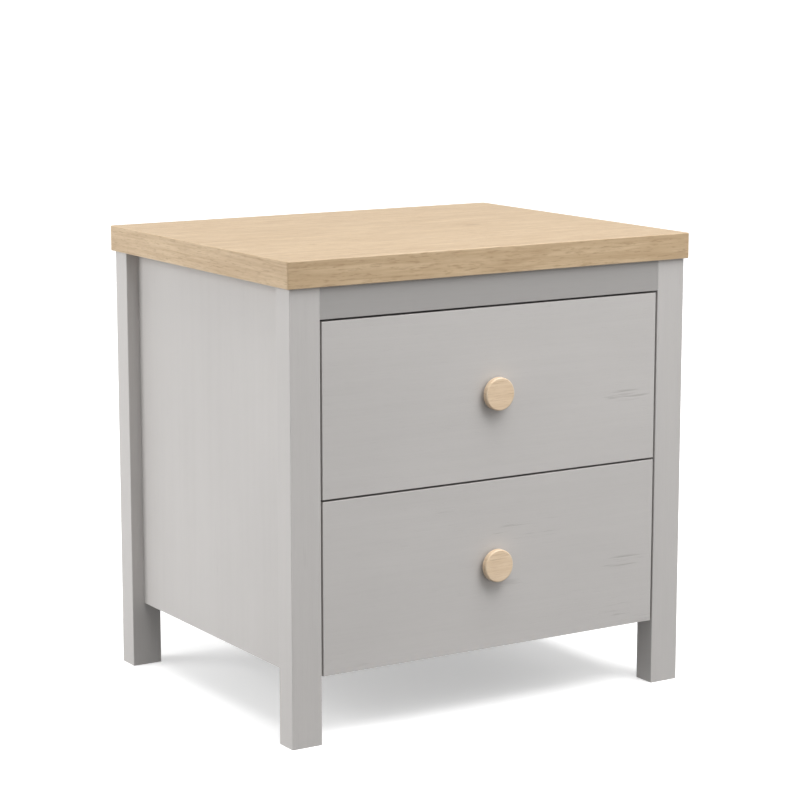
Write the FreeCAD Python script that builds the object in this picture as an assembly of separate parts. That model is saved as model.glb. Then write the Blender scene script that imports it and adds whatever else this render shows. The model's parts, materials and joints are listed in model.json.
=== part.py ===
import FreeCAD, Part
import os

# Nightstand with two drawers. Sizes are in millimetres: X runs to the right, Y to the back and Z up.
# The origin is on the floor, in the middle of the space that the closed nightstand takes up.

# Top board
OVERALL_HEIGHT = 500.0
TOP_WIDTH = 500.0
TOP_DEPTH = 400.0
TOP_THICKNESS = 28.0
TOP_OVERHANG = 4.0  # past the posts' outer faces, all round
TOP_CORNER_RADIUS = 2.0
TOP_EDGE_RADIUS = 1.0

# Posts and side panels
POST_WIDTH = 35.0  # across the front
POST_DEPTH = 27.0  # front to back
POST_EDGE_RADIUS = 1.0
SIDE_THICKNESS = 18.0
SIDE_SET_BACK = 14.5  # from the posts' outer faces
FLOOR_CLEARANCE = 72.0  # under the side panels and the lower drawer
BOARD_EDGE_RADIUS = 0.4

# Rails, stretcher and back panel
RAIL_THICKNESS = 15.0
FRONT_RAIL_HEIGHT = 33.0
REAR_RAIL_HEIGHT = 40.0
STRETCHER_DEPTH = 60.0
BACK_THICKNESS = 3.0
BACK_INSET = 8.0  # from the posts' rear faces
BACK_TONGUE = 6.0  # width of the back panel's edge inside each post

# Drawers
DRAWERS = ("lower_drawer", "upper_drawer")
FRONT_THICKNESS = 15.0
FRONT_RECESS = 0.5  # behind the posts' front faces
FRONT_GAP = 2.3
BOX_WALL = 12.0
BOX_LIFT = 22.0  # drawer box above its front's lower edge
BOX_DROP = 39.5  # drawer box below its front's upper edge
BOX_REAR_GAP = 18.5  # to the rear rails
BOTTOM_THICKNESS = 3.0
BOTTOM_LIFT = 10.0  # above the drawer box's lower edge
BOTTOM_TONGUE = 5.0
GROOVE_PLAY = 0.3

# Round knobs
KNOB_RADIUS = 17.5
KNOB_PROJECTION = 10.5
KNOB_NECK_RADIUS = 9.0
KNOB_NECK_LENGTH = 3.5
KNOB_FACE_ROUND = 1.5
KNOB_BACK_ROUND = 1.2
KNOB_SCREW_RADIUS = 2.0
KNOB_SCREW_GRIP = 7.5  # length inside the knob
KNOB_SCREW_HEAD_RADIUS = 4.0
KNOB_SCREW_HEAD_HEIGHT = 2.4

# Roller runners. Each side's runner fills the space between the side panel and the drawer box.
RUNNER_SPACE = 12.5  # the least that a runner needs
RUNNER_SHEET = 1.2
RUNNER_SET_BACK = 2.0  # drawer runner behind the drawer front
RUNNER_POST_GAP = 1.0  # case runner behind the front post
RUNNER_REAR_MARGIN = 28.0  # drawer box past the drawer runner
RUNNER_LEG = 11.0  # width of the leg under the drawer side
RUNNER_FLANGE = 9.0  # width of the drawer runner's upper flange
RUNNER_TIP_GAP = 1.0  # from that flange to the post
RUNNER_SIDE_GAP = 0.8  # case runner's flanges to the drawer runner
RUNNER_HEAD_GAP = 1.0  # under the case runner's upper flange
ROLLER_RADIUS = 8.0
ROLLER_WIDTH = 5.5
ROLLER_END_INSET = 12.0
ROLLER_TRACK_GAP = 0.3
ROLLER_SIDE_GAP = 0.2
ROLLER_BORE_GAP = 0.05
ROLLER_AXIS_LIFT = 12.5  # above the drawer box's lower edge
CASE_ROLLER_GAP = 1.8  # to the drawer runner
DRAWER_ROLLER_GAP = 1.2
RIVET_RADIUS = 2.0
RIVET_SHOULDER_RADIUS = 3.2
RIVET_HEAD_RADIUS = 3.6
RIVET_HEAD_HEIGHT = 0.8

# Cam fittings, dowels, screws and pins
CAM_RADIUS = 7.5
SMALL_CAM_RADIUS = 6.0
CAM_BELOW_AXIS = 3.5
CAM_REACH = 24.0  # from the joint to the cam's middle
BOLT_THREAD_RADIUS = 3.0
BOLT_THREAD_LENGTH = 11.0
BOLT_SHANK_RADIUS = 2.25
BOLT_HEAD_RADIUS = 3.4
BOLT_HEAD_LENGTH = 3.0
DOWEL_RADIUS = 4.0
DOWEL_LENGTH = 30.0
DOWEL_CHAMFER = 1.0
DOWEL_DEPTH = 10.0  # into the board or post whose face it enters
HOLE_PLAY = 0.1
HOLE_OVERRUN = 1.0  # of a hole past the fastener's end
SCREW_RADIUS = 1.75
SCREW_HEAD_RADIUS = 3.5
SCREW_HEAD_HEIGHT = 1.6
RUNNER_SCREW_LENGTH = 14.0
BACK_SCREW_LENGTH = 30.0
PIN_RADIUS = 0.9
PIN_HEAD_RADIUS = 2.5
PIN_HEAD_HEIGHT = 0.6
PIN_LENGTH = 14.0
RECESS_WIDTH = 1.0
RECESS_DEPTH = 0.9
RECESS_SHARE = 0.6  # of the head's radius

# Where the fittings sit along a joint
SIDE_CAM_INSET = 80.0
SIDE_DOWEL_INSET = 40.0
TOP_CAM_INSET = 70.0
RAIL_CAM_INSET = 11.0
RAIL_DOWEL_INSET = 9.0
STRETCHER_FITTING_INSET = 15.0
PIN_INSET = 30.0
PINS_PER_RAIL = 4
BOX_CAM_INSET = 40.0
BOX_DOWEL_LIFT = 35.0
BACK_SCREW_INSET = 20.0
RUNNER_SCREW_INSET = 45.0
CASE_RUNNER_SCREWS = 3
DRAWER_RUNNER_SCREWS = 2

# Worked out from the sizes above
SIDES = {"left": -1, "right": 1}
case_width = TOP_WIDTH - 2 * TOP_OVERHANG
case_depth = TOP_DEPTH - 2 * TOP_OVERHANG
post_height = OVERALL_HEIGHT - TOP_THICKNESS
front_reach = max(TOP_OVERHANG, KNOB_PROJECTION - FRONT_RECESS)
case_front = front_reach - (front_reach + case_depth + TOP_OVERHANG) / 2
case_rear = case_front + case_depth
post_inner = case_width / 2 - POST_WIDTH
side_inner = case_width / 2 - SIDE_SET_BACK - SIDE_THICKNESS
side_middle = side_inner + SIDE_THICKNESS / 2
side_front = case_front + POST_DEPTH
side_rear = case_rear - POST_DEPTH
back_rear = case_rear - BACK_INSET
back_front = back_rear - BACK_THICKNESS
rear_rail_front = back_front - RAIL_THICKNESS
front_face = case_front + FRONT_RECESS
front_back = front_face + FRONT_THICKNESS
front_rail_bottom = post_height - FRONT_RAIL_HEIGHT
front_pitch = (front_rail_bottom - FLOOR_CLEARANCE) / len(DRAWERS)
front_height = front_pitch - FRONT_GAP
box_half_width = min(post_inner - RUNNER_TIP_GAP - RUNNER_FLANGE, side_inner - RUNNER_SPACE)
box_inner = box_half_width - BOX_WALL
box_rear = rear_rail_front - BOX_REAR_GAP
box_height = front_height - BOX_LIFT - BOX_DROP
runner_length = box_rear - front_back - RUNNER_REAR_MARGIN
leg_screw_length = BOTTOM_LIFT  # ends below the drawer bottom's groove

PARALLEL_TOLERANCE = 0.001
X = FreeCAD.Vector(1, 0, 0)
Y = FreeCAD.Vector(0, 1, 0)
Z = FreeCAD.Vector(0, 0, 1)

pieces = {}  # solids that make each node
holes = {}  # solids to cut out of each board


def at(x, y, z):
    return FreeCAD.Vector(x, y, z)


def block(low, high):
    size = high - low
    return Part.makeBox(size.x, size.y, size.z, low)


def span(side, inner, outer, y_range, z_range):
    """Block on one side (-1 or 1) whose X runs from inner to outer, counted from the middle."""
    x_low, x_high = sorted((side * inner, side * outer))
    return block(at(x_low, y_range[0], z_range[0]), at(x_high, y_range[1], z_range[1]))


def add(node, solid):
    pieces.setdefault(node, []).append(solid)


def drill(node, tool):
    holes.setdefault(node, []).append(tool)


def aimed(shape, point, direction):
    """The shape with its own origin at a point and its own Z along a direction."""
    return placed(shape, FreeCAD.Placement(point, FreeCAD.Rotation(Z, direction)))


def placed(shape, placement):
    moved = shape.copy()
    moved.Placement = placement.multiply(shape.Placement)
    return moved


def along(axis, edge):
    start, end = (vertex.Point for vertex in edge.Vertexes)
    return (end - start).normalize().cross(axis).Length < PARALLEL_TOLERANCE


def rounded(shape, radius, chosen):
    """The shape with a fillet along each straight edge that chosen accepts."""
    edges = [edge for edge in shape.Edges if chosen(edge)]
    return shape.makeFillet(radius, edges)


def turned(outline):
    """Solid turned about Z from (radius, height) points that start and end on the axis."""
    points = [at(radius, 0, height) for radius, height in outline]
    wire = Part.makePolygon(points + [points[0]])
    return Part.Face(wire).revolve(at(0, 0, 0), Z, 360)


def stepped(start, steps):
    """Turned pin along Z from a starting height, as (length, radius) steps."""
    height = start
    outline = [(0, height)]
    for length, radius in steps:
        outline.append((radius, height))
        height += length
        outline.append((radius, height))
    outline.append((0, height))
    return turned(outline)


def cross_recess(radius, depth):
    """Cutting tool for a cross-shaped driver recess, down from z = 0."""
    bar = block(at(-radius, -RECESS_WIDTH / 2, 0), at(radius, RECESS_WIDTH / 2, depth))
    return bar.fuse(placed(bar, FreeCAD.Placement(at(0, 0, 0), FreeCAD.Rotation(Z, 90))))


# ---- Fasteners ----


def screw(length, radius, head_radius, head_height):
    """Pan-head screw that points along Z, with the underside of its head at z = 0."""
    tip_length = 2 * radius
    outline = [(0, -head_height), (head_radius, -head_height), (head_radius, 0), (radius, 0)]
    outline += [(radius, length - tip_length), (0, length)]
    recess = cross_recess(head_radius * RECESS_SHARE, RECESS_DEPTH)
    recess.translate(at(0, 0, -head_height))
    return turned(outline).cut(recess)


def drive_screw(group, boards, point, direction, length):
    """Add a screw to a group and drill the boards that it passes through."""
    add(group, aimed(screw(length, SCREW_RADIUS, SCREW_HEAD_RADIUS, SCREW_HEAD_HEIGHT), point, direction))
    hole = Part.makeCylinder(SCREW_RADIUS + HOLE_PLAY, length + HOLE_OVERRUN, point, direction)
    for board in boards:
        drill(board, hole)


def dowel_joint(group, boards, point, direction):
    """Dowel across a joint: the direction points out of an edge and into the other board's face."""
    inner = DOWEL_RADIUS - DOWEL_CHAMFER
    shoulder = DOWEL_LENGTH - DOWEL_CHAMFER
    outline = [(0, 0), (inner, 0), (DOWEL_RADIUS, DOWEL_CHAMFER), (DOWEL_RADIUS, shoulder)]
    outline += [(inner, DOWEL_LENGTH), (0, DOWEL_LENGTH)]
    start = point - direction * (DOWEL_LENGTH - DOWEL_DEPTH)
    add(group, aimed(turned(outline), start, direction))
    hole_length = DOWEL_LENGTH + 2 * DOWEL_CHAMFER
    hole_start = start - direction * DOWEL_CHAMFER
    hole = Part.makeCylinder(DOWEL_RADIUS + HOLE_PLAY, hole_length, hole_start, direction)
    for board in boards:
        drill(board, hole)


def cam_bolt():
    """Bolt along X: the thread runs to +X from the joint at x = 0 and the head lies in the cam."""
    neck = CAM_REACH - BOLT_HEAD_LENGTH / 2
    steps = [
        (BOLT_HEAD_LENGTH, BOLT_HEAD_RADIUS),
        (neck, BOLT_SHANK_RADIUS),
        (BOLT_THREAD_LENGTH, BOLT_THREAD_RADIUS),
    ]
    bolt = stepped(-CAM_REACH - BOLT_HEAD_LENGTH / 2, steps)
    return aimed(bolt, at(0, 0, 0), X)


def cam_lock(radius, half_board):
    """Cam with a slot for the bolt's head and a driver recess in the face at z = half_board."""
    bottom = -CAM_BELOW_AXIS
    wide = BOLT_HEAD_RADIUS + HOLE_PLAY
    body = Part.makeCylinder(radius, half_board - bottom, at(-CAM_REACH, 0, bottom))
    slot = block(at(-CAM_REACH - wide, -wide, bottom), at(-CAM_REACH + radius, wide, wide))
    recess = cross_recess(radius * RECESS_SHARE, RECESS_DEPTH)
    recess.translate(at(-CAM_REACH, 0, half_board - RECESS_DEPTH))
    return body.cut(slot).cut(recess)


def cam_joint(group, board, post, point, into_post, face, thickness, radius=CAM_RADIUS):
    """Cam fitting that pulls a board's edge onto a post.

    point is where the bolt crosses the joint, into_post is the way its thread goes, and face is the
    way the board's face that holds the cam looks.
    """
    rotation = FreeCAD.Rotation(into_post, face.cross(into_post), face, "ZXY")
    place = FreeCAD.Placement(point, rotation)
    half = thickness / 2
    add(group + "_cam_locks", placed(cam_lock(radius, half), place))
    add(group + "_cam_bolts", placed(cam_bolt(), place))
    pocket_bottom = at(-CAM_REACH, 0, -CAM_BELOW_AXIS - HOLE_PLAY)
    pocket_depth = half + CAM_BELOW_AXIS + HOLE_OVERRUN
    pocket = Part.makeCylinder(radius + HOLE_PLAY, pocket_depth, pocket_bottom)
    bore = Part.makeCylinder(BOLT_HEAD_RADIUS + HOLE_PLAY, CAM_REACH, at(-CAM_REACH, 0, 0), X)
    thread_depth = BOLT_THREAD_LENGTH + HOLE_OVERRUN
    thread_hole = Part.makeCylinder(BOLT_THREAD_RADIUS + HOLE_PLAY, thread_depth, at(0, 0, 0), X)
    drill(board, placed(pocket, place))
    drill(board, placed(bore, place))
    drill(post, placed(thread_hole, place))


# ---- Case ----


def add_top_board():
    low = at(-TOP_WIDTH / 2, case_front - TOP_OVERHANG, post_height)
    high = at(TOP_WIDTH / 2, case_rear + TOP_OVERHANG, OVERALL_HEIGHT)
    board = rounded(block(low, high), TOP_CORNER_RADIUS, lambda edge: along(Z, edge))
    rims = [edge for edge in board.Edges if edge.BoundBox.ZLength < TOP_EDGE_RADIUS]
    add("top_board", board.makeFillet(TOP_EDGE_RADIUS, rims))


def post_name(end, side_name):
    return f"{end}_{side_name}_post"


def add_posts():
    for side_name, side in SIDES.items():
        for end, y_range in (("front", (case_front, side_front)), ("rear", (side_rear, case_rear))):
            post = span(side, post_inner, case_width / 2, y_range, (0, post_height))
            post = rounded(post, POST_EDGE_RADIUS, lambda edge: along(Z, edge))
            foot = [edge for edge in post.Edges if edge.BoundBox.ZMax < POST_EDGE_RADIUS]
            add(post_name(end, side_name), post.makeFillet(POST_EDGE_RADIUS / 2, foot))


def lower_edges_rounded(board, axis):
    """The board with its two lower edges along an axis rounded."""
    limit = board.BoundBox.ZMin + BOARD_EDGE_RADIUS
    return rounded(board, BOARD_EDGE_RADIUS, lambda edge: along(axis, edge) and edge.BoundBox.ZMax < limit)


def upper_edges_rounded(board, axis):
    """The board with its two upper edges along an axis rounded."""
    limit = board.BoundBox.ZMax - BOARD_EDGE_RADIUS
    return rounded(board, BOARD_EDGE_RADIUS, lambda edge: along(axis, edge) and edge.BoundBox.ZMin > limit)


def add_side_panels():
    z_range = (FLOOR_CLEARANCE, post_height)
    for side_name, side in SIDES.items():
        panel = span(side, side_inner, side_inner + SIDE_THICKNESS, (side_front, side_rear), z_range)

        add(f"{side_name}_side_panel", lower_edges_rounded(panel, Y))


def add_rails():
    front_low = at(-post_inner, front_face, front_rail_bottom)
    front_rail = block(front_low, at(post_inner, front_face + RAIL_THICKNESS, post_height))
    add("front_top_rail", lower_edges_rounded(front_rail, X))
    rear_low = at(-post_inner, rear_rail_front, post_height - REAR_RAIL_HEIGHT)
    add("rear_top_rail", block(rear_low, at(post_inner, back_front, post_height)))
    lower_low = at(-post_inner, rear_rail_front, FLOOR_CLEARANCE)
    lower_high = at(post_inner, back_front, FLOOR_CLEARANCE + REAR_RAIL_HEIGHT)
    add("rear_bottom_rail", block(lower_low, lower_high))
    stretcher_low = at(-side_inner, side_front, FLOOR_CLEARANCE)
    stretcher_high = at(side_inner, side_front + STRETCHER_DEPTH, FLOOR_CLEARANCE + RAIL_THICKNESS)
    add("front_stretcher", lower_edges_rounded(block(stretcher_low, stretcher_high), X))


def add_back_panel():
    reach = post_inner + BACK_TONGUE
    low = at(-reach, back_front, FLOOR_CLEARANCE)
    add("back_panel", block(low, at(reach, back_rear, post_height - GROOVE_PLAY)))
    groove_y = (back_front - GROOVE_PLAY / 2, back_rear + GROOVE_PLAY / 2)
    for side_name, side in SIDES.items():
        groove_end = reach + GROOVE_PLAY
        groove = span(side, post_inner, groove_end, groove_y, (FLOOR_CLEARANCE, post_height))
        drill(post_name("rear", side_name), groove)


def join_sides_to_posts():
    """Cam fittings and dowels along both upright edges of each side panel."""
    heights = (FLOOR_CLEARANCE + SIDE_CAM_INSET, post_height - SIDE_CAM_INSET)
    dowel_heights = (FLOOR_CLEARANCE + SIDE_DOWEL_INSET, post_height - SIDE_DOWEL_INSET)
    for side_name, side in SIDES.items():
        panel = f"{side_name}_side_panel"
        for end, joint_y, into_post in (("front", side_front, -Y), ("rear", side_rear, Y)):
            post = post_name(end, side_name)
            for height in heights:
                point = at(side * side_middle, joint_y, height)
                cam_joint("case", panel, post, point, into_post, X * -side, SIDE_THICKNESS)
            for height in dowel_heights:
                point = at(side * side_middle, joint_y, height)
                dowel_joint("case_dowels", (panel, post), point, into_post)


def join_top():
    """Cam fittings from the side panels and dowels from the posts into the top board."""
    for side_name, side in SIDES.items():
        panel = f"{side_name}_side_panel"
        for joint_y in (side_front + TOP_CAM_INSET, side_rear - TOP_CAM_INSET):
            point = at(side * side_middle, joint_y, post_height)
            cam_joint("case", panel, "top_board", point, Z, X * -side, SIDE_THICKNESS)
        for end, middle in (("front", case_front + POST_DEPTH / 2), ("rear", case_rear - POST_DEPTH / 2)):
            post_middle = side * (case_width - POST_WIDTH) / 2
            point = at(post_middle, middle, post_height)
            dowel_joint("case_dowels", (post_name(end, side_name), "top_board"), point, Z)


def join_upright_rail(rail, end, middle_y, cam_height, dowel_height, face):
    for side_name, side in SIDES.items():
        post = post_name(end, side_name)
        cam_point = at(side * post_inner, middle_y, cam_height)
        cam_joint("case", rail, post, cam_point, X * side, face, RAIL_THICKNESS)
        dowel_point = at(side * post_inner, middle_y, dowel_height)
        dowel_joint("case_dowels", (rail, post), dowel_point, X * side)


def join_rails():
    front_middle = front_face + RAIL_THICKNESS / 2
    rear_middle = rear_rail_front + RAIL_THICKNESS / 2
    upper_cam = post_height - RAIL_CAM_INSET
    front_dowel = front_rail_bottom + RAIL_DOWEL_INSET
    join_upright_rail("front_top_rail", "front", front_middle, upper_cam, front_dowel, Y)
    rear_dowel = post_height - REAR_RAIL_HEIGHT + RAIL_DOWEL_INSET
    join_upright_rail("rear_top_rail", "rear", rear_middle, upper_cam, rear_dowel, -Y)
    lower_cam = FLOOR_CLEARANCE + RAIL_CAM_INSET
    lower_dowel = FLOOR_CLEARANCE + REAR_RAIL_HEIGHT - RAIL_DOWEL_INSET
    join_upright_rail("rear_bottom_rail", "rear", rear_middle, lower_cam, lower_dowel, -Y)


def join_stretcher():
    middle_z = FLOOR_CLEARANCE + RAIL_THICKNESS / 2
    cam_y = side_front + STRETCHER_FITTING_INSET
    dowel_y = side_front + STRETCHER_DEPTH - STRETCHER_FITTING_INSET
    for side_name, side in SIDES.items():
        panel = f"{side_name}_side_panel"
        cam_point = at(side * side_inner, cam_y, middle_z)
        cam_joint("case", "front_stretcher", panel, cam_point, X * side, -Z, RAIL_THICKNESS)
        dowel_point = at(side * side_inner, dowel_y, middle_z)
        dowel_joint("case_dowels", ("front_stretcher", panel), dowel_point, X * side)


def pin_back_panel():
    """Pins through the back panel into the two rear rails."""
    pin = stepped(-PIN_HEAD_HEIGHT, [(PIN_HEAD_HEIGHT, PIN_HEAD_RADIUS), (PIN_LENGTH, PIN_RADIUS)])
    first = -post_inner + PIN_INSET
    pitch = 2 * (post_inner - PIN_INSET) / (PINS_PER_RAIL - 1)
    rail_middles = {
        "rear_top_rail": post_height - REAR_RAIL_HEIGHT / 2,
        "rear_bottom_rail": FLOOR_CLEARANCE + REAR_RAIL_HEIGHT / 2,
    }
    for rail, height in rail_middles.items():
        for number in range(PINS_PER_RAIL):
            point = at(first + number * pitch, back_rear, height)
            hole = Part.makeCylinder(PIN_RADIUS + HOLE_PLAY, PIN_LENGTH + HOLE_OVERRUN, point, -Y)
            add("back_panel_pins", aimed(pin, point, -Y))
            drill("back_panel", hole)
            drill(rail, hole)


# ---- Runners ----
# Heights are counted from the drawer box's lower edge and offsets from the side panel's inner face.

flange_bottom = ROLLER_AXIS_LIFT + ROLLER_RADIUS + ROLLER_TRACK_GAP
flange_top = flange_bottom + RUNNER_SHEET
track_top = ROLLER_AXIS_LIFT - ROLLER_RADIUS - ROLLER_TRACK_GAP
case_flange_bottom = flange_top + RUNNER_HEAD_GAP
box_offset = side_inner - box_half_width
web_offset = box_offset - RUNNER_SHEET
flange_tip = box_offset - RUNNER_FLANGE
case_roller_offset = web_offset - CASE_ROLLER_GAP - ROLLER_WIDTH
case_flange_tip = web_offset - RUNNER_SIDE_GAP
case_runner_front = side_front + RUNNER_POST_GAP
drawer_runner_front = front_back + RUNNER_SET_BACK
case_roller_y = case_runner_front + ROLLER_END_INSET
drawer_runner_rear = drawer_runner_front + runner_length
drawer_roller_y = drawer_runner_rear - ROLLER_END_INSET


def runner_strip(side, offsets, y_range, base, heights):
    inner, outer = side_inner - offsets[1], side_inner - offsets[0]
    return span(side, inner, outer, y_range, (base + heights[0], base + heights[1]))


def rivet(start, shoulder, pin):
    """Axle rivet along Z: tail through the sheet, shoulder, bearing pin and head."""
    steps = [
        (RUNNER_SHEET - start, RIVET_RADIUS),
        (shoulder, RIVET_SHOULDER_RADIUS),
        (pin, RIVET_RADIUS),
        (RIVET_HEAD_HEIGHT, RIVET_HEAD_RADIUS),
    ]
    return stepped(start, steps)


def roller():
    wheel = Part.makeCylinder(ROLLER_RADIUS, ROLLER_WIDTH)
    return wheel.cut(Part.makeCylinder(RIVET_RADIUS + ROLLER_BORE_GAP, ROLLER_WIDTH))


def add_case_runner(drawer, side_name, side, base):
    """C-shaped runner on the side panel, with its roller at the front."""
    y_range = (case_runner_front, case_runner_front + runner_length)
    low = track_top - RUNNER_SHEET
    high = case_flange_bottom + RUNNER_SHEET
    web = runner_strip(side, (0, RUNNER_SHEET), y_range, base, (low, high))
    track = runner_strip(side, (0, case_flange_tip), y_range, base, (low, track_top))
    cover = runner_strip(side, (0, case_flange_tip), y_range, base, (case_flange_bottom, high))
    node = f"{drawer}_case_runner_{side_name}"
    add(node, web.fuse([track, cover]).removeSplitter())
    inward = X * -side
    axle = at(side * side_inner, case_roller_y, base + ROLLER_AXIS_LIFT)
    drill(node, Part.makeCylinder(RIVET_RADIUS + ROLLER_BORE_GAP, RUNNER_SHEET, axle, inward))
    shoulder = case_roller_offset - ROLLER_SIDE_GAP - RUNNER_SHEET
    pin = ROLLER_WIDTH + 2 * ROLLER_SIDE_GAP
    add("case_axle_rivets", aimed(rivet(HOLE_PLAY, shoulder, pin), axle, inward))
    add(f"{drawer}_case_roller_{side_name}", aimed(roller(), axle + inward * case_roller_offset, inward))
    pitch = (runner_length - 2 * RUNNER_SCREW_INSET) / (CASE_RUNNER_SCREWS - 1)
    boards = (node, f"{side_name}_side_panel")
    for number in range(CASE_RUNNER_SCREWS):
        screw_y = case_runner_front + RUNNER_SCREW_INSET + number * pitch
        point = at(side * (side_inner - RUNNER_SHEET), screw_y, base + ROLLER_AXIS_LIFT)
        drive_screw("case_runner_screws", boards, point, -inward, RUNNER_SCREW_LENGTH)


def add_drawer_runner(drawer, side_name, side, base):
    """Runner that wraps the drawer side's lower edge, with its roller at the rear."""
    y_range = (drawer_runner_front, drawer_runner_rear)
    flange_y = (drawer_runner_front, drawer_roller_y - ROLLER_END_INSET)
    web_offsets = (web_offset, box_offset)
    leg_offsets = (web_offset, box_offset + RUNNER_LEG)
    web = runner_strip(side, web_offsets, y_range, base, (-RUNNER_SHEET, flange_top))
    leg = runner_strip(side, leg_offsets, y_range, base, (-RUNNER_SHEET, 0))
    flange = runner_strip(side, (flange_tip, box_offset), flange_y, base, (flange_bottom, flange_top))
    node = f"{drawer}_runner_{side_name}"
    add(node, web.fuse([leg, flange]).removeSplitter())
    outward = X * side
    axle = at(side * box_half_width, drawer_roller_y, base + ROLLER_AXIS_LIFT)
    drill(node, Part.makeCylinder(RIVET_RADIUS + ROLLER_BORE_GAP, RUNNER_SHEET, axle, outward))
    roller_start = RUNNER_SHEET + DRAWER_ROLLER_GAP
    shoulder = DRAWER_ROLLER_GAP - ROLLER_SIDE_GAP
    pin = ROLLER_WIDTH + 2 * ROLLER_SIDE_GAP
    add(f"{drawer}_axle_rivets", aimed(rivet(HOLE_PLAY, shoulder, pin), axle, outward))
    add(f"{drawer}_roller_{side_name}", aimed(roller(), axle + outward * roller_start, outward))
    pitch = (runner_length - 2 * RUNNER_SCREW_INSET) / (DRAWER_RUNNER_SCREWS - 1)
    boards = (node, f"{drawer}_side_{side_name}")
    for number in range(DRAWER_RUNNER_SCREWS):
        screw_y = drawer_runner_front + RUNNER_SCREW_INSET + number * pitch
        point = at(side * (box_half_width - BOX_WALL / 2), screw_y, base - RUNNER_SHEET)
        drive_screw(f"{drawer}_runner_screws", boards, point, Z, leg_screw_length)


# ---- Drawers ----


def add_drawer_front(drawer, bottom):
    low = at(-post_inner + FRONT_GAP, front_face, bottom)
    board = block(low, at(post_inner - FRONT_GAP, front_back, bottom + front_height))

    def on_face(edge):
        return edge.BoundBox.YMax < front_face + BOARD_EDGE_RADIUS

    add(f"{drawer}_front", rounded(board, BOARD_EDGE_RADIUS, on_face))


def add_drawer_box(drawer, base):
    top = base + box_height
    floor_z = (base + BOTTOM_LIFT, base + BOTTOM_LIFT + BOTTOM_THICKNESS)
    back_front_y = box_rear - BOX_WALL
    reach = box_inner + BOTTOM_TONGUE
    panel_low = at(-reach, front_back - BOTTOM_TONGUE, floor_z[0])
    panel_high = at(reach, back_front_y + BOTTOM_TONGUE, floor_z[1])
    add(f"{drawer}_bottom", block(panel_low, panel_high))
    play = at(GROOVE_PLAY, GROOVE_PLAY, 0)
    groove = block(panel_low - play, panel_high + play + Z * GROOVE_PLAY)
    back = block(at(-box_inner, back_front_y, base), at(box_inner, box_rear, top))
    add(f"{drawer}_back", upper_edges_rounded(back, X))
    drill(f"{drawer}_front", groove)
    drill(f"{drawer}_back", groove)
    for side_name, side in SIDES.items():
        node = f"{drawer}_side_{side_name}"
        board = span(side, box_inner, box_half_width, (front_back, box_rear), (base, top))
        add(node, upper_edges_rounded(board, Y))
        drill(node, groove)


def join_drawer_box(drawer, base):
    """Cam fittings and dowels behind the front, and screws through the sides into the back."""
    top = base + box_height
    wall_middle = box_inner + BOX_WALL / 2
    front = f"{drawer}_front"
    for side_name, side in SIDES.items():
        board = f"{drawer}_side_{side_name}"
        cam_point = at(side * wall_middle, front_back, top - BOX_CAM_INSET)
        cam_joint(drawer, board, front, cam_point, -Y, X * -side, BOX_WALL, SMALL_CAM_RADIUS)
        dowel_point = at(side * wall_middle, front_back, base + BOX_DOWEL_LIFT)
        dowel_joint(f"{drawer}_dowels", (board, front), dowel_point, -Y)
        for height in (top - BACK_SCREW_INSET, base + BOTTOM_LIFT + 2 * BACK_SCREW_INSET):
            point = at(side * box_half_width, box_rear - BOX_WALL / 2, height)
            boards = (board, f"{drawer}_back")
            drive_screw(f"{drawer}_back_screws", boards, point, X * -side, BACK_SCREW_LENGTH)


def quarter_round(start, end, centre):
    """Quarter-circle edge about a centre."""
    outward = ((start + end) / 2 - centre).normalize()
    return Part.Arc(start, centre + outward * (start - centre).Length, end).toShape()


def knob_shape():
    """Knob along Z: neck, flat back, rounded rim and flat face."""
    axis_start = at(0, 0, 0)
    neck_start = at(KNOB_NECK_RADIUS, 0, 0)
    neck_end = at(KNOB_NECK_RADIUS, 0, KNOB_NECK_LENGTH)
    back_end = at(KNOB_RADIUS - KNOB_BACK_ROUND, 0, KNOB_NECK_LENGTH)
    rim_start = at(KNOB_RADIUS, 0, KNOB_NECK_LENGTH + KNOB_BACK_ROUND)
    rim_end = at(KNOB_RADIUS, 0, KNOB_PROJECTION - KNOB_FACE_ROUND)
    face_start = at(KNOB_RADIUS - KNOB_FACE_ROUND, 0, KNOB_PROJECTION)
    axis_end = at(0, 0, KNOB_PROJECTION)
    edges = [
        Part.LineSegment(axis_start, neck_start).toShape(),
        Part.LineSegment(neck_start, neck_end).toShape(),
        Part.LineSegment(neck_end, back_end).toShape(),
        quarter_round(back_end, rim_start, at(back_end.x, 0, rim_start.z)),
        Part.LineSegment(rim_start, rim_end).toShape(),
        quarter_round(rim_end, face_start, at(face_start.x, 0, rim_end.z)),
        Part.LineSegment(face_start, axis_end).toShape(),
        Part.LineSegment(axis_end, axis_start).toShape(),
    ]
    return Part.Face(Part.Wire(edges)).revolve(axis_start, Z, 360)


def knob_screw():
    """Machine screw along Z with the underside of its head at z = 0."""
    shank = FRONT_THICKNESS + KNOB_SCREW_GRIP
    steps = [(KNOB_SCREW_HEAD_HEIGHT, KNOB_SCREW_HEAD_RADIUS), (shank, KNOB_SCREW_RADIUS)]
    recess = cross_recess(KNOB_SCREW_HEAD_RADIUS * RECESS_SHARE, RECESS_DEPTH)
    recess.translate(at(0, 0, -KNOB_SCREW_HEAD_HEIGHT))
    return stepped(-KNOB_SCREW_HEAD_HEIGHT, steps).cut(recess)


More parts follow.
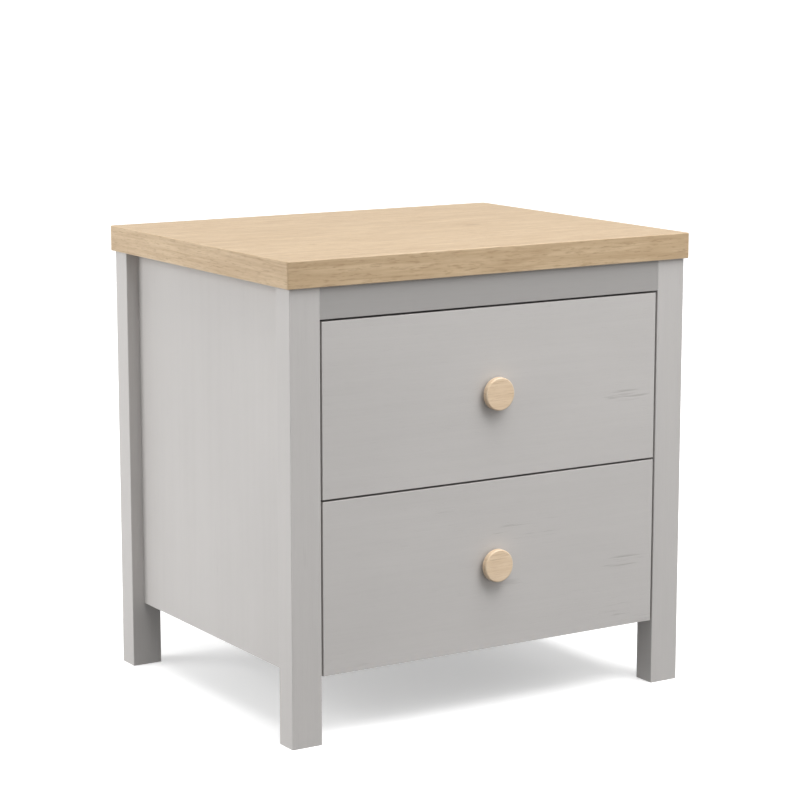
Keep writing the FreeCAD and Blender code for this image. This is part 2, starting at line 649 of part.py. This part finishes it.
def add_knob(drawer, bottom):
    """Round knob in the middle of the front, held by a screw from inside the drawer."""
    seat = at(0, front_face, bottom + front_height / 2)
    head = seat + Y * FRONT_THICKNESS
    add(f"{drawer}_knob", aimed(knob_shape(), seat, -Y))
    add(f"{drawer}_knob_screw", aimed(knob_screw(), head, -Y))
    depth = FRONT_THICKNESS + KNOB_SCREW_GRIP + HOLE_PLAY
    hole = Part.makeCylinder(KNOB_SCREW_RADIUS + HOLE_PLAY, depth, head, -Y)
    drill(f"{drawer}_knob", hole)
    drill(f"{drawer}_front", hole)


def add_drawer(drawer, number):
    bottom = FLOOR_CLEARANCE + number * front_pitch
    base = bottom + BOX_LIFT
    add_drawer_front(drawer, bottom)
    add_drawer_box(drawer, base)
    join_drawer_box(drawer, base)
    add_knob(drawer, bottom)
    for side_name, side in SIDES.items():
        add_case_runner(drawer, side_name, side, base)
        add_drawer_runner(drawer, side_name, side, base)


def export_nodes():
    os.makedirs("parts", exist_ok=True)
    for node, solids in pieces.items():
        if node in holes:
            solids = [solid.cut(holes[node]) for solid in solids]
        shape = solids[0] if len(solids) == 1 else Part.makeCompound(solids)
        shape.exportStep(f"parts/{node}.step")
        print(f"{node}: {len(shape.Solids)} solid(s), {shape.Volume:.0f} mm3, valid {shape.isValid()}")


add_top_board()
add_posts()
add_side_panels()
add_rails()
add_back_panel()
join_sides_to_posts()
join_top()
join_rails()
join_stretcher()
pin_back_panel()
for drawer_number, drawer_name in enumerate(DRAWERS):
    add_drawer(drawer_name, drawer_number)
export_nodes()
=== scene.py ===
import json
import math
from collections import namedtuple
import bpy
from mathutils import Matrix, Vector


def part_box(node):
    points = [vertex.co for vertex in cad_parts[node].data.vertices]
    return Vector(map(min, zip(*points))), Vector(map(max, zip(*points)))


# Looks of the nightstand: materials for each board and fitting, floor, lights and camera.
# Lengths are in metres, colours are linear, and noise scales are in features per metre.

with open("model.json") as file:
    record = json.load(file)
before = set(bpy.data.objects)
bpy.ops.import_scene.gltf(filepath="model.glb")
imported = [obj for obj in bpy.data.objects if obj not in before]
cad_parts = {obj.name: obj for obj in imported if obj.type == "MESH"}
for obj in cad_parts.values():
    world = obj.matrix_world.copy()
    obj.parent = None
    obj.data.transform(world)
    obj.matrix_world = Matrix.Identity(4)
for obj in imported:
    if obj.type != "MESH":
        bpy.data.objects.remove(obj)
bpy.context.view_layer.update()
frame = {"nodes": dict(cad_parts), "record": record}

# ---- Colours ----

GREY = (0.560, 0.540, 0.524, 1)
# Lighter edge colour: wear and a painted highlight
GREY_WEAR_HIGHLIGHT = (0.64, 0.625, 0.61, 1)
GREY_PORE = (0.475, 0.457, 0.440, 1)
GREY_MARK = (0.400, 0.383, 0.368, 1)
OAK = {
    "light": (0.640, 0.482, 0.302, 1),
    "middle": (0.530, 0.380, 0.224, 1),
    "dark": (0.335, 0.215, 0.108, 1),
    "knot": (0.270, 0.155, 0.075, 1),
    "wear_and_highlight": (0.740, 0.590, 0.420, 1),
}
PALE_OAK = {
    "light": (0.860, 0.690, 0.510, 1),
    "middle": (0.780, 0.600, 0.415, 1),
    "dark": (0.620, 0.440, 0.270, 1),
    "knot": (0.420, 0.270, 0.150, 1),
    "wear_and_highlight": (0.920, 0.790, 0.640, 1),
}
BOX_GREY = (0.600, 0.590, 0.570, 1)
BOX_FLECK = (0.500, 0.488, 0.468, 1)
HARDBOARD_LIGHT = (0.560, 0.548, 0.528, 1)
HARDBOARD_DARK = (0.470, 0.455, 0.432, 1)
EPOXY = (0.800, 0.800, 0.790, 1)
EPOXY_DARK = (0.735, 0.735, 0.725, 1)
NYLON = (0.820, 0.820, 0.800, 1)
NYLON_SCUFF = (0.700, 0.695, 0.675, 1)
ZINC = (0.600, 0.600, 0.600, 1)
ZINC_DARK = (0.420, 0.420, 0.425, 1)
STEEL = (0.640, 0.640, 0.630, 1)
STEEL_DARK = (0.480, 0.480, 0.485, 1)
BEECH_LIGHT = (0.690, 0.510, 0.340, 1)
BEECH_DARK = (0.530, 0.360, 0.215, 1)
FLOOR_COLOUR = (0.93, 0.93, 0.93, 1)
FLOOR_SHADE = (0.90, 0.90, 0.90, 1)

# The rail under the top is painted darker than the other grey boards: painted shade for the shadow
# of the top's overhang
RAIL_SHADE = 0.685

# ---- Noise patterns ----

# The scale is along the grain and then across it. The span is the range of the noise, from none of
# the pattern to all of it.
Pattern = namedtuple("Pattern", "scale detail roughness span", defaults=(2.0, 0.5, (0.0, 1.0)))

FOIL_CLOUDS = Pattern((4, 9, 9), span=(0.25, 0.75))
FOIL_BANDS = Pattern((3, 110, 110), 3.0, 0.55, (0.30, 0.75))
FOIL_FIBRES = Pattern((16, 620, 620), 4.0, 0.6, (0.2, 0.8))
FOIL_PORES = Pattern((55, 1500, 1500), span=(0.60, 0.72))
FOIL_MARK_PATCHES = Pattern((7, 21, 21), 1.0, span=(0.66, 0.74))
FOIL_MARK_LINES = Pattern((16, 330, 330), span=(0.56, 0.66))
FOIL_SCAR_LINES = Pattern((16, 330, 330), span=(0.46, 0.58))

OAK_SLOW = Pattern((1.6, 7, 7), span=(0.35, 0.65))
OAK_WARP = Pattern((5, 38, 38), 3.0)
OAK_RAGGED = Pattern((60, 220, 220), 3.0)
OAK_FIBRES = Pattern((13, 520, 520), 5.0, 0.62, (0.42, 0.75))
OAK_STREAKS = Pattern((7, 150, 150), 3.0, 0.6, (0.28, 0.72))
OAK_DASHES = Pattern((70, 480, 480), 3.0, 0.6, (0.52, 0.70))
OAK_PATCHES = Pattern((18, 60, 60), 3.0, 0.6, (0.35, 0.70))
OAK_PORES = Pattern((48, 1300, 1300), span=(0.60, 0.70))

BOX_FLECKS = Pattern((60, 900, 900), 3.0, 0.6, (0.45, 0.72))
BOX_BANDS = Pattern((4, 90, 90), 3.0, span=(0.3, 0.8))
HARDBOARD_MAT = Pattern((700, 700, 700), 5.0, 0.7, (0.45, 0.75))
HARDBOARD_CLUMPS = Pattern((70, 110, 90), 3.0, 0.6, (0.3, 0.75))
EPOXY_PEEL = Pattern((420, 420, 420))
EPOXY_SCUFFS = Pattern((260, 9, 260), 4.0, 0.6, (0.5, 0.8))
NYLON_GRAIN = Pattern((1800, 1800, 1800))
NYLON_SCUFFS = Pattern((500, 120, 120), 4.0, 0.6, (0.45, 0.8))
ZINC_MOTTLE = Pattern((900, 900, 900), 4.0, 0.65, (0.4, 0.75))
STEEL_MOTTLE = Pattern((1500, 1500, 1500), 4.0, 0.65, (0.4, 0.75))
METAL_PATCHES = Pattern((150, 150, 150), span=(0.35, 0.8))
BEECH_FLECKS = Pattern((700, 700, 700), 3.0, 0.6, (0.5, 0.75))
BEECH_BANDS = Pattern((160, 160, 160), span=(0.3, 0.7))
WEAR_HIGHLIGHT_NOISE = Pattern((90, 90, 90), 3.0)
FLOOR_MOTTLE = Pattern((3, 3, 3), 3.0)
FLOOR_GRAIN = Pattern((300, 300, 300))

# Ranges of noise over which the roughness changes: in wood grain, and in the rest
GRAIN_SPAN = (0.25, 0.8)
FLECK_SPAN = (0.3, 0.8)

# ---- Wear and painted edge highlights, marks and growth rings ----

# Distances from a board's edge: full edge colour, none of it, and how much that border wanders. The
# edge colour is wear, and where it is lighter also a painted highlight
WEAR_HIGHLIGHT_FULL = 0.0006
WEAR_HIGHLIGHT_NONE = 0.0024
WEAR_HIGHLIGHT_WANDER = 0.0016

# Pressed mark on each drawer front: its middle from the right end, its share of the height,
# its reach along each axis, and how it fades out
SCAR_FROM_END = 0.038
SCAR_HEIGHT = 0.40
SCAR_REACH = (0.036, 0.05, 0.007)
SCAR_BORDER = (1.0, 0.6)

# Growth rings of the oak, and how far each thing bends them
RINGS_PER_METRE = 95
RING_SLANT = 0.7
RING_BEND_SLOW = 9.0
RING_BEND_WARP = 3.0
RING_BEND_KNOT = 1.6
HALF_RING = 0.5
RING_SPAN = (0.02, HALF_RING)
RING_STRENGTH = (0.35, 1.0)
PORE_RING_SPAN = (0.9, 0.2)
PORE_STRENGTH = (0.25, 1.0)
KNOT_SCALE = (5.5, 17, 17)
KNOT_RAGGEDNESS = 0.09
KNOT_SPAN = (0.125, 0.07)
HALO_SPAN = (0.34, 0.08)
END_FACE_LIMIT = 0.75
KNOB_FINENESS = 1.6

# The step between two boards' places in the grain
GRAIN_STEP = (0.731, 1.173, 2.377)

# ---- Studio ----

FLOOR_SIZE = 160.0
FLOOR_GLOW = 0.37
FLOOR_ROUGHNESS = 0.6

# Brightness of the surroundings by height: 0 is straight down, 0.5 the horizon and 1 straight up
WORLD_UPPER = 0.48
WORLD_LOWER = 0.12
WORLD_HORIZON = 0.9
WORLD_STOPS = (
    (0.0, WORLD_LOWER),
    (0.48, WORLD_LOWER),
    (0.5, WORLD_HORIZON),
    (0.56, WORLD_HORIZON),
    (0.66, WORLD_UPPER),
)

CASE_MIDDLE = (0, 0, 0.28)
FRONT_MIDDLE = (0, 0, 0.35)

CAMERA_PLACE = (-1.4541, -2.3317, 0.7953)
CAMERA_TURN = 32.005  # degrees from +Y towards +X
CAMERA_TILT = 10.02  # degrees down
CAMERA_NEAR = 0.05
LENS = 113.197  # millimetres

AXES = "xyz"


class Shader:
    """One material, with short calls that add and link its nodes."""

    def __init__(self, name):
        self.material = bpy.data.materials.new(name)
        self.material.use_nodes = True
        self.tree = self.material.node_tree
        self.surface = self.tree.nodes["Principled BSDF"]

    def put(self, socket, value):
        if isinstance(value, bpy.types.NodeSocket):
            self.tree.links.new(value, socket)
        else:
            socket.default_value = value

    def node(self, kind, inputs, **settings):
        made = self.tree.nodes.new("ShaderNode" + kind)
        for name, value in settings.items():
            setattr(made, name, value)
        for socket, value in inputs.items():
            self.put(made.inputs[socket], value)
        return made

    def math(self, operation, first, second=0.0):
        return self.node("Math", {0: first, 1: second}, operation=operation).outputs[0]

    def times(self, first, second):
        return self.math("MULTIPLY", first, second)

    def total(self, first, *others):
        for other in others:
            first = self.math("ADD", first, other)
        return first

    def vector(self, operation, first, second):
        return self.node("VectorMath", {0: first, 1: second}, operation=operation).outputs[0]

    def split(self, vector):
        return self.node("SeparateXYZ", {0: vector}).outputs

    def join(self, x, y, z):
        return self.node("CombineXYZ", {0: x, 1: y, 2: z}).outputs[0]

    def fade(self, value, span, result=(0.0, 1.0)):
        """Smooth step from the first to the second result as the value crosses the span."""
        start, end = span
        low, high = result
        inputs = {"Value": value, "From Min": start, "From Max": end, "To Min": low, "To Max": high}
        return self.node("MapRange", inputs, interpolation_type="SMOOTHSTEP").outputs[0]

    def mix(self, factor, first, second, mode="MIX"):
        inputs = {0: factor, 6: first, 7: second}
        return self.node("Mix", inputs, data_type="RGBA", blend_type=mode).outputs[2]

    def layer(self, colour, mask, over, share):
        """The colour with a share of another over it where the mask is 1."""
        return self.mix(self.times(mask, share), colour, over)

    def noise(self, space, pattern):
        inputs = {
            "Vector": self.vector("MULTIPLY", space, pattern.scale),
            "Scale": 1.0,
            "Detail": pattern.detail,
            "Roughness": pattern.roughness,
        }
        return self.node("TexNoise", inputs).outputs[0]

    def mask(self, space, pattern):
        """0 where the pattern is absent and 1 where it is full."""
        return self.fade(self.noise(space, pattern), pattern.span)

    def cells(self, space, scale):
        """Distance to the nearest of scattered points."""
        scaled = self.vector("MULTIPLY", space, scale)
        return self.node("TexVoronoi", {"Vector": scaled, "Scale": 1.0}).outputs["Distance"]

    def place(self):
        return self.node("TexCoord", {}).outputs["Object"]

    def space(self, axis, offset):
        """Coordinates with their X along an axis of the part, shifted so that boards differ."""
        parts = self.split(self.place())
        start = AXES.index(axis)
        order = [parts[(start + step) % len(AXES)] for step in range(len(AXES))]
        return self.vector("ADD", self.join(*order), offset)

    def edge(self, box):
        """1 at a board's edges and 0 away from them, a little uneven as wear is. It places edge
        wear, and the lighter edges of a painted highlight.

        Of the distances to the faces along X, Y and Z, the middle one is small only at an edge.
        """
        low, high = box
        place = self.place()
        from_low = self.vector("SUBTRACT", place, low)
        from_high = self.vector("SUBTRACT", high, place)
        x, y, z = self.split(self.vector("MINIMUM", from_low, from_high))
        lower = self.math("MINIMUM", x, y)
        upper = self.math("MAXIMUM", x, y)
        middle = self.math("MAXIMUM", lower, self.math("MINIMUM", upper, z))
        uneven = self.times(self.noise(place, WEAR_HIGHLIGHT_NOISE), WEAR_HIGHLIGHT_WANDER)
        return self.fade(self.total(middle, uneven), (WEAR_HIGHLIGHT_NONE, WEAR_HIGHLIGHT_FULL))

    def near(self, centre, reach):
        """1 around a point of the part, and 0 past its reach along each axis."""
        away = self.vector("DIVIDE", self.vector("SUBTRACT", self.place(), centre), reach)
        distance = self.node("VectorMath", {0: away}, operation="LENGTH").outputs["Value"]
        return self.fade(distance, SCAR_BORDER)

    def bump(self, height, depth):
        inputs = {"Height": height, "Strength": 1.0, "Distance": depth}
        return self.node("Bump", inputs).outputs[0]

    def finish(self, colour, roughness, normal, **constants):
        self.put(self.surface.inputs["Base Color"], colour)
        self.put(self.surface.inputs["Roughness"], roughness)
        self.put(self.surface.inputs["Normal"], normal)
        for name, value in constants.items():
            self.surface.inputs[name].default_value = value
        return self.material


# ---- Materials ----


def foil_marks(shader, space, scar):
    """Short pressed strokes: a few anywhere, and more around the scar where there is one."""
    patches = shader.mask(space, FOIL_MARK_PATCHES)
    marks = shader.times(patches, shader.mask(space, FOIL_MARK_LINES))
    if scar:
        strokes = shader.times(shader.near(*scar), shader.mask(space, FOIL_SCAR_LINES))
        marks = shader.math("MAXIMUM", marks, strokes)
    return marks


def grey_foil(name, axis, offset, box, shade_factor, scar):
    """Satin grey foil with a faint wood grain along an axis. shade_factor scales its brightness;
    below 1 it paints shade into the board.

    scar is None, or the centre and reach of a pressed mark.
    """
    shader = Shader(name)
    space = shader.space(axis, offset)
    fibres = shader.noise(space, FOIL_FIBRES)
    pores = shader.mask(space, FOIL_PORES)
    marks = foil_marks(shader, space, scar)
    wear_and_highlight = shader.edge(box)
    colour = shader.layer(GREY, shader.mask(space, FOIL_BANDS), GREY_PORE, share=0.12)
    colour = shader.layer(colour, pores, GREY_PORE, share=0.22)
    colour = shader.layer(colour, marks, GREY_MARK, share=0.75)
    # Lighter edges: wear and a painted highlight along the rounded edges
    colour = shader.layer(colour, wear_and_highlight, GREY_WEAR_HIGHLIGHT, share=0.35)
    # shade_factor below 1 darkens the whole board as painted shade
    clouds_and_shade = (shade_factor * 0.975, shade_factor * 1.025)
    streaky = (0.985, 1.015)
    light = shader.fade(shader.noise(space, FOIL_CLOUDS), FOIL_CLOUDS.span, clouds_and_shade)
    light = shader.times(light, shader.fade(fibres, FOIL_FIBRES.span, streaky))
    colour = shader.mix(1.0, colour, shader.join(light, light, light), "MULTIPLY")
    polish = shader.times(wear_and_highlight, 0.06)
    roughness = shader.math("SUBTRACT", shader.fade(fibres, GRAIN_SPAN, (0.40, 0.52)), polish)
    relief = shader.math("SUBTRACT", shader.times(fibres, 0.5), pores)
    relief = shader.math("SUBTRACT", relief, shader.times(marks, 2.0))
    return shader.finish(colour, roughness, shader.bump(relief, depth=0.00006), IOR=1.46)


def finer(pattern, fineness):
    """The pattern with a closer grain, and as long along the grain as before."""
    along, across, through = pattern.scale
    return pattern._replace(scale=(along, across * fineness, through * fineness))


def oak_knots(shader, space):
    """1 in each knot, and a wider mask of the wood that bends around it."""
    ragged = shader.times(shader.noise(space, OAK_RAGGED), KNOT_RAGGEDNESS)
    distance = shader.total(shader.cells(space, KNOT_SCALE), ragged)
    return shader.fade(distance, KNOT_SPAN), shader.fade(distance, HALO_SPAN)


def oak_rings(shader, space, fineness, halo):
    """Growth rings, bent by slow noise and around knots, and stronger in some places."""
    parts = shader.split(space)
    slow = shader.noise(space, OAK_SLOW)
    warp = shader.noise(space, OAK_WARP)
    across = shader.total(parts[1], shader.times(parts[2], RING_SLANT))
    phase = shader.total(
        shader.times(across, RINGS_PER_METRE * fineness),
        shader.times(slow, RING_BEND_SLOW),
        shader.times(warp, RING_BEND_WARP),
        shader.times(halo, RING_BEND_KNOT),
    )
    rings = shader.fade(shader.math("PINGPONG", phase, HALF_RING), RING_SPAN)
    return shader.times(rings, shader.fade(slow, OAK_SLOW.span, RING_STRENGTH))


def oak_colour(shader, space, fineness, tints):
    """Colour, fibres and pores of light oak, with its grain along the space's X."""
    knot, halo = oak_knots(shader, space)
    rings = oak_rings(shader, space, fineness, halo)
    fibres = shader.noise(space, finer(OAK_FIBRES, fineness))
    streaks = shader.mask(space, finer(OAK_STREAKS, fineness))
    dashes = shader.mask(space, finer(OAK_DASHES, fineness))
    pores = shader.mask(space, OAK_PORES)
    pores = shader.times(pores, shader.fade(rings, PORE_RING_SPAN, PORE_STRENGTH))
    layers = (
        (shader.mask(space, OAK_PATCHES), "middle", 0.75),
        (rings, "dark", 0.24),
        (dashes, "dark", 0.55),
        (shader.fade(fibres, OAK_FIBRES.span), "dark", 0.45),
        (pores, "knot", 0.55),
        (halo, "dark", 0.10),
        (knot, "knot", 0.6),
    )
    colour = shader.mix(streaks, tints["light"], tints["middle"])
    for mask, tint, share in layers:
        colour = shader.layer(colour, mask, tints[tint], share)
    return colour, fibres, pores


def oak(name, axis, end_axis, offset, box, fineness, tints):
    """Satin oak. Faces that look along the grain's axis are edged with grain along end_axis."""
    shader = Shader(name)
    long_space = shader.space(axis, offset)
    end_space = shader.space(end_axis, offset)
    normal_parts = shader.split(shader.node("TexCoord", {}).outputs["Normal"])
    facing = shader.math("ABSOLUTE", normal_parts[AXES.index(axis)])
    on_end = shader.math("GREATER_THAN", facing, END_FACE_LIMIT)
    inputs = {0: on_end, 4: long_space, 5: end_space}
    space = shader.node("Mix", inputs, data_type="VECTOR", factor_mode="UNIFORM").outputs[1]
    colour, fibres, pores = oak_colour(shader, space, fineness, tints)
    # Lighter edges: wear and a painted highlight along the rounded edges
    colour = shader.layer(colour, shader.edge(box), tints["wear_and_highlight"], share=0.5)
    roughness = shader.fade(fibres, GRAIN_SPAN, (0.32, 0.46))
    relief = shader.math("SUBTRACT", shader.times(fibres, 0.5), pores)
    return shader.finish(colour, roughness, shader.bump(relief, depth=0.00008), IOR=1.5)


def drawer_board(name, axis, offset, box):
    """Matt light grey board of the drawer boxes, finely flecked along its length."""
    shader = Shader(name)
    space = shader.space(axis, offset)
    flecks = shader.noise(space, BOX_FLECKS)
    colour = shader.layer(BOX_GREY, shader.fade(flecks, BOX_FLECKS.span), BOX_FLECK, share=0.6)
    colour = shader.layer(colour, shader.mask(space, BOX_BANDS), BOX_FLECK, share=0.35)
    # Lighter edges: wear and a painted highlight along the rounded edges
    colour = shader.layer(colour, shader.edge(box), GREY_WEAR_HIGHLIGHT, share=0.5)
    roughness = shader.fade(flecks, FLECK_SPAN, (0.52, 0.64))
    return shader.finish(colour, roughness, shader.bump(flecks, depth=0.00005), IOR=1.45)


def hardboard(name, offset, box):
    """Painted hardboard with the mat of its pressed fibres."""
    shader = Shader(name)
    space = shader.space("x", offset)
    mat = shader.noise(space, HARDBOARD_MAT)
    clumps = shader.mask(space, HARDBOARD_CLUMPS)
    colour = shader.layer(HARDBOARD_LIGHT, clumps, HARDBOARD_DARK, share=0.55)
    colour = shader.layer(colour, shader.fade(mat, HARDBOARD_MAT.span), HARDBOARD_DARK, share=0.5)
    # Lighter edges: wear and a painted highlight along the rounded edges
    colour = shader.layer(colour, shader.edge(box), GREY_WEAR_HIGHLIGHT, share=0.4)
    roughness = shader.fade(mat, FLECK_SPAN, (0.62, 0.78))
    return shader.finish(colour, roughness, shader.bump(mat, depth=0.0001), IOR=1.45)


def epoxy_steel(name, box):
    """Off-white epoxy coat with a fine orange peel, scuffed along its length."""
    shader = Shader(name)
    place = shader.place()
    peel = shader.noise(place, EPOXY_PEEL)
    scuffs = shader.noise(place, EPOXY_SCUFFS)
    colour = shader.layer(EPOXY, shader.fade(scuffs, EPOXY_SCUFFS.span), EPOXY_DARK, share=0.8)
    colour = shader.layer(colour, shader.edge(box), ZINC, share=0.5)
    roughness = shader.fade(scuffs, FLECK_SPAN, (0.34, 0.5))
    return shader.finish(colour, roughness, shader.bump(peel, depth=0.00004), IOR=1.5)


def nylon(name):
    """White nylon with a fine grain and faint scuffs."""
    shader = Shader(name)
    place = shader.place()
    scuffs = shader.noise(place, NYLON_SCUFFS)
    grain = shader.noise(place, NYLON_GRAIN)
    colour = shader.layer(NYLON, shader.fade(scuffs, NYLON_SCUFFS.span), NYLON_SCUFF, share=0.7)
    roughness = shader.fade(scuffs, FLECK_SPAN, (0.32, 0.48))
    return shader.finish(colour, roughness, shader.bump(grain, depth=0.00002), IOR=1.53)


def bare_metal(name, light, dark, pattern, roughness_range, depth):
    """Plated or cast metal, mottled by the given pattern."""
    shader = Shader(name)
    place = shader.place()
    mottle = shader.noise(place, pattern)
    colour = shader.layer(light, shader.fade(mottle, pattern.span), dark, share=0.8)
    colour = shader.layer(colour, shader.mask(place, METAL_PATCHES), dark, share=0.4)
    roughness = shader.fade(mottle, FLECK_SPAN, roughness_range)
    return shader.finish(colour, roughness, shader.bump(mottle, depth), Metallic=1.0)


def zinc_fitting():
    return bare_metal("zinc_fitting", ZINC, ZINC_DARK, ZINC_MOTTLE, (0.38, 0.55), depth=0.00004)


def steel_fastener():
    return bare_metal("steel_fastener", STEEL, STEEL_DARK, STEEL_MOTTLE, (0.25, 0.42), depth=0.00002)


def beech(name):
    """Beech with short dark flecks."""
    shader = Shader(name)
    place = shader.place()
    flecks = shader.noise(place, BEECH_FLECKS)
    colour = shader.mix(shader.mask(place, BEECH_BANDS), BEECH_LIGHT, BEECH_DARK)
    colour = shader.layer(colour, shader.fade(flecks, BEECH_FLECKS.span), BEECH_DARK, share=0.7)
    roughness = shader.fade(flecks, FLECK_SPAN, (0.55, 0.7))
    return shader.finish(colour, roughness, shader.bump(flecks, depth=0.00006), IOR=1.46)


def grain_offset(number):
    """A different place in the grain for each board."""
    return Vector([step * number for step in GRAIN_STEP])


def grain_axis(node):
    """Grain runs along a board's longest side, and up the side panels and the back."""
    if node.endswith("_side_panel") or node == "back_panel":
        return "z"
    low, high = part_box(node)
    sizes = high - low
    return AXES[max(range(len(AXES)), key=lambda index: sizes[index])]


def scar_of(node):
    """Each drawer front has a pressed mark near its right end, a little below the middle."""
    if not node.endswith("_drawer_front"):
        return None
    low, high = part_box(node)
    height = low.z + SCAR_HEIGHT * (high.z - low.z)
    centre = Vector((high.x - SCAR_FROM_END, low.y, height))
    return centre, Vector(SCAR_REACH)


def shared_materials():
    """Materials of the slots whose pieces all look the same."""
    return {
        "roller_nylon": nylon("roller_nylon"),
        "zinc_fitting": zinc_fitting(),
        "steel_fastener": steel_fastener(),
        "beech_dowel": beech("beech_dowel"),
    }


def own_material(node, slot, offset):
    """The material of one board, knob or runner, or None where its slot shares one."""
    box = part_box(node)
    if slot == "grey_board":
        # The rail gets painted shade for the shadow under the top's overhang
        shade_factor = RAIL_SHADE if node == "front_top_rail" else 1.0
        return grey_foil(f"grey_foil_{node}", grain_axis(node), offset, box, shade_factor, scar_of(node))
    if slot == "oak_top":
        return oak("oak_top", "x", "y", offset, box, 1.0, OAK)
    if slot == "oak_knob":
        return oak(f"oak_{node}", "x", "y", offset, box, KNOB_FINENESS, PALE_OAK)
    if slot == "drawer_board":
        return drawer_board(f"drawer_board_{node}", grain_axis(node), offset, box)
    if slot == "hardboard":
        return hardboard(f"hardboard_{node}", offset, box)
    if slot == "runner_steel":
        return epoxy_steel(f"epoxy_{node}", box)
    return None


def dress_nodes():
    shared = shared_materials()
    for number, row in enumerate(frame["record"]["subparts"], start=1):
        node = row["node"]
        slot = row["material_slot"]
        mesh = frame["nodes"][node].data
        material = own_material(node, slot, grain_offset(number)) or shared[slot]
        if not mesh.materials:
            mesh.materials.append(material)
        for index in range(len(mesh.materials)):
            mesh.materials[index] = material


# ---- Floor, lights and camera ----


def add_floor():
    """White floor with a glow. It takes shadows, and lights no other thing."""
    bpy.ops.mesh.primitive_plane_add(size=FLOOR_SIZE)
    floor = bpy.context.object
    floor.name = "studio_floor"
    shader = Shader("studio_floor")
    colour = shader.mix(shader.noise(shader.place(), FLOOR_MOTTLE), FLOOR_COLOUR, FLOOR_SHADE)
    grain = shader.noise(shader.place(), FLOOR_GRAIN)
    material = shader.finish(colour, FLOOR_ROUGHNESS, shader.bump(grain, depth=0.0001))
    floor.data.materials.append(material)
    shader.surface.inputs["Emission Color"].default_value = FLOOR_COLOUR
    shader.surface.inputs["Emission Strength"].default_value = FLOOR_GLOW
    floor.visible_diffuse = False


def add_world():
    """Soft white surroundings: darker below the horizon than above it."""
    world = bpy.data.worlds.new("studio")
    bpy.context.scene.world = world
    world.use_nodes = True
    tree = world.node_tree
    direction = tree.nodes.new("ShaderNodeTexCoord")
    split = tree.nodes.new("ShaderNodeSeparateXYZ")
    height = tree.nodes.new("ShaderNodeMapRange")
    ramp = tree.nodes.new("ShaderNodeValToRGB")
    tree.links.new(direction.outputs["Generated"], split.inputs[0])
    tree.links.new(split.outputs["Z"], height.inputs["Value"])
    height.inputs["From Min"].default_value = -1.0
    height.inputs["From Max"].default_value = 1.0
    tree.links.new(height.outputs[0], ramp.inputs[0])
    while len(ramp.color_ramp.elements) < len(WORLD_STOPS):
        ramp.color_ramp.elements.new(0.5)
    for element, (position, value) in zip(ramp.color_ramp.elements, WORLD_STOPS):
        element.position = position
        element.color = (value, value, value, 1)
    tree.links.new(ramp.outputs[0], tree.nodes["Background"].inputs["Color"])


def add_light(kind, name, place, target, power):
    lamp = bpy.data.lights.new(name, kind)
    lamp.energy = power
    light = bpy.data.objects.new(name, lamp)
    bpy.context.collection.objects.link(light)
    light.location = place
    direction = Vector(target) - light.location
    light.rotation_euler = direction.to_track_quat("-Z", "Y").to_euler()
    return light


def add_panel(name, place, target, side, power):
    """Square area light."""
    light = add_light("AREA", name, place, target, power)
    light.data.size = side
    return light


def add_lights():
    """Soft light from above and in front, and two fills that glossy faces don't mirror."""
    sun = add_light("SUN", "overhead_soft", place=(0.1, -0.6, 2.0), target=(0, 0, 0), power=2.35)
    sun.data.angle = math.radians(48)
    add_panel("front_key", place=(0.4, -1.05, 1.2), target=FRONT_MIDDLE, side=0.8, power=6.3)
    fills = (
        add_panel("left_fill", place=(-2.4, 1.0, 1.1), target=CASE_MIDDLE, side=1.6, power=43),
        add_panel("right_fill", place=(2.4, 1.4, 1.3), target=CASE_MIDDLE, side=1.6, power=16),
    )
    for fill in fills:
        fill.visible_glossy = False


def add_camera():
    camera_data = bpy.data.cameras.new("camera")
    camera_data.lens = LENS
    camera_data.clip_start = CAMERA_NEAR
    camera_data.clip_end = FLOOR_SIZE
    camera = bpy.data.objects.new("camera", camera_data)
    bpy.context.collection.objects.link(camera)
    camera.location = CAMERA_PLACE
    camera.rotation_euler = (math.radians(90 - CAMERA_TILT), 0, -math.radians(CAMERA_TURN))
    bpy.context.scene.camera = camera


add_camera()
dress_nodes()
add_floor()
add_world()
add_lights()
bpy.context.scene.view_settings.view_transform = "Standard"
